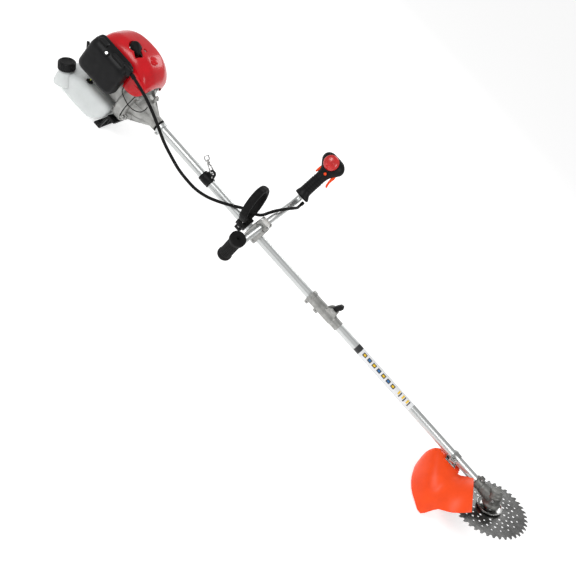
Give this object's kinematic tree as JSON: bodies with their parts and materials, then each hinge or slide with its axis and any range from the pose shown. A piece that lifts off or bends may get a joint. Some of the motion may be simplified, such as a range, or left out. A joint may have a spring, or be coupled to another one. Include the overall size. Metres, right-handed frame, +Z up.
{
  "type": "brush cutter",
  "caption": "Petrol brush cutter with a split drive shaft, U-shaped handlebar, loop handle, curved guard and a toothed saw blade.",
  "frame": {"origin": "on the flat underside of the tank stand's foot, directly below the drive shaft's axis", "axes": "+X along the drive shaft from the engine to the blade, +Z up, +Y towards the throttle handle"},
  "size_m": [2.0329, 0.713, 0.3638],
  "materials": {
    "cast_aluminium": "as-cast, light grey",
    "bright_aluminium": "drawn tube, satin",
    "bare_steel": "machined steel",
    "zinc_steel": "bright zinc plate",
    "dark_cast": "dark grey casting",
    "black_plastic": "fine-textured black",
    "black_rubber": "soft black",
    "red_plastic": "glossy deep red",
    "orange_plastic": "bright orange, satin",
    "tank_plastic": "milky, slightly translucent",
    "filter_foam": "open foam",
    "hose_plastic": "yellow-green hose"
  },
  "bodies": {
    "main_frame": {"crankcase": "cast_aluminium", "cylinder": "cast_aluminium", "piston": "bright_aluminium", "fan_housing": "cast_aluminium", "clutch_housing": "cast_aluminium", "starter_housing": "black_plastic", "engine_cover": "red_plastic", "spark_plug": "zinc_steel", "spark_plug_cap": "black_rubber", "muffler": "dark_cast", "muffler_guard": "black_plastic", "carburetor": "cast_aluminium", "filter_base": "black_plastic", "filter_element": "filter_foam", "filter_cover": "black_plastic", "filter_screw": "zinc_steel", "fuel_tank": "tank_plastic", "tank_grommet": "black_rubber", "fuel_line": "hose_plastic", "tank_stand": "black_plastic", "vibration_ring": "black_rubber", "tube_collar": "bright_aluminium", "upper_tube": "bright_aluminium", "drive_shaft_bush": "black_rubber", "hanger_clamp": "black_plastic", "loop_handle": "black_rubber", "loop_clamp_cap": "black_plastic", "handlebar_clamp_base": "cast_aluminium", "handlebar_clamp_cap": "cast_aluminium", "handlebar": "bright_aluminium", "plain_grip": "black_rubber", "throttle_handle": "black_plastic", "throttle_dome": "red_plastic", "throttle_conduit": "black_rubber", "stop_wire": "black_rubber", "coupling_body": "cast_aluminium"},
    "crank_train": {"crankshaft": "bare_steel", "flywheel_fan": "cast_aluminium", "clutch_shoes": "bare_steel"},
    "starter_reel": {"starter_pulley": "black_plastic"},
    "starter_pull": {"starter_handle": "black_plastic"},
    "choke": {"choke_lever": "black_plastic"},
    "tank_cap": {"fuel_cap": "black_plastic"},
    "hook": {"snap_hook": "zinc_steel"},
    "hook_gate": {"snap_gate": "zinc_steel"},
    "trigger": {"throttle_trigger": "orange_plastic"},
    "lockout": {"lockout_lever": "orange_plastic"},
    "switch": {"stop_switch": "orange_plastic"},
    "quick_lever": {"coupling_lever": "black_plastic"},
    "upper_drive": {"clutch_drum": "bare_steel", "upper_drive_shaft": "bare_steel"},
    "lower_unit": {"lower_tube": "bright_aluminium", "guard_bracket": "zinc_steel", "guard": "orange_plastic", "gearbox_housing": "dark_cast"},
    "lower_drive": {"lower_drive_shaft": "bare_steel"},
    "blade_spindle": {"output_shaft": "bare_steel", "blade_holder": "zinc_steel", "blade": "bare_steel", "blade_nut": "zinc_steel"}
  },
  "joints": [
    {"name": "crank_spin", "type": "hinge", "parent": "main_frame", "child": "crank_train", "pos_m": [0, 0, 0.14], "axis": [1, 0, 0], "continuous": true},
    {"name": "starter_pull_slide", "type": "slide", "parent": "main_frame", "child": "starter_pull", "axis": [0, 1, 0], "range_m": [0, 0.074], "stiffness_N_per_m": 60, "springref_m": -0.02},
    {"name": "starter_reel_spin", "type": "hinge", "parent": "main_frame", "child": "starter_reel", "pos_m": [0, 0, 0.14], "axis": [1, 0, 0], "range_deg": [0, 145]},
    {"name": "choke_turn", "type": "hinge", "parent": "main_frame", "child": "choke", "pos_m": [-0.1482, -0.0815, 0.185], "axis": [0, 1, 0], "range_deg": [-50, 0]},
    {"name": "fuel_cap_turn", "type": "hinge", "parent": "main_frame", "child": "tank_cap", "pos_m": [-0.186, -0.058, 0.072], "axis": [-0.4201, -0.2, 0.8852], "range_deg": [0, 360]},
    {"name": "hook_swing", "type": "hinge", "parent": "main_frame", "child": "hook", "pos_m": [0.361, 0, 0.17], "axis": [0, 1, 0], "range_deg": [0, 129]},
    {"name": "hook_gate_swing", "type": "hinge", "parent": "hook", "child": "hook_gate", "pos_m": [0.3314, -0.0072, 0.18414], "axis": [0.4311, 0, 0.9023], "range_deg": [0, 20], "stiffness_Nm_per_rad": 0.02, "springref_deg": -11.46},
    {"name": "throttle_trigger_squeeze", "type": "hinge", "parent": "main_frame", "child": "trigger", "pos_m": [0.608, 0.33279, 0.31363], "axis": [0, 0.9063, -0.4226], "range_deg": [0, 12], "stiffness_Nm_per_rad": 1.5, "springref_deg": -5.73},
    {"name": "lockout_squeeze", "type": "hinge", "parent": "main_frame", "child": "lockout", "pos_m": [0.56, 0.33279, 0.31363], "axis": [0, -0.9063, 0.4226], "range_deg": [0, 12], "stiffness_Nm_per_rad": 0.8, "springref_deg": -5.73},
    {"name": "stop_switch_slide", "type": "slide", "parent": "main_frame", "child": "switch", "axis": [1, 0, 0], "range_m": [0, 0.005]},
    {"name": "coupling_lever_turn", "type": "hinge", "parent": "main_frame", "child": "quick_lever", "pos_m": [0.9245, 0, 0.1685], "axis": [0, 1, 0], "range_deg": [0, 60]},
    {"name": "shaft_pull_apart", "type": "slide", "parent": "main_frame", "child": "lower_unit", "axis": [1, 0, 0], "range_m": [0, 0.06]},
    {"name": "blade_spin", "type": "hinge", "parent": "lower_unit", "child": "blade_spindle", "pos_m": [1.705, 0, 0.108], "axis": [-0.454, 0, 0.891], "continuous": true},
    {"name": "lower_drive_spin", "type": "hinge", "parent": "lower_unit", "child": "lower_drive", "pos_m": [0, 0, 0.14], "axis": [1, 0, 0], "continuous": true},
    {"name": "upper_drive_spin", "type": "hinge", "parent": "main_frame", "child": "upper_drive", "pos_m": [0, 0, 0.14], "axis": [1, 0, 0], "continuous": true}
  ],
  "couplings": [
    {"joint": "lower_drive_spin", "follows": "blade_spin", "ratio": 1.3571},
    {"joint": "upper_drive_spin", "follows": "blade_spin", "ratio": 1.3571},
    {"joint": "starter_reel_spin", "follows": "starter_pull_slide", "rad_per_m": 33.333}
  ]
}
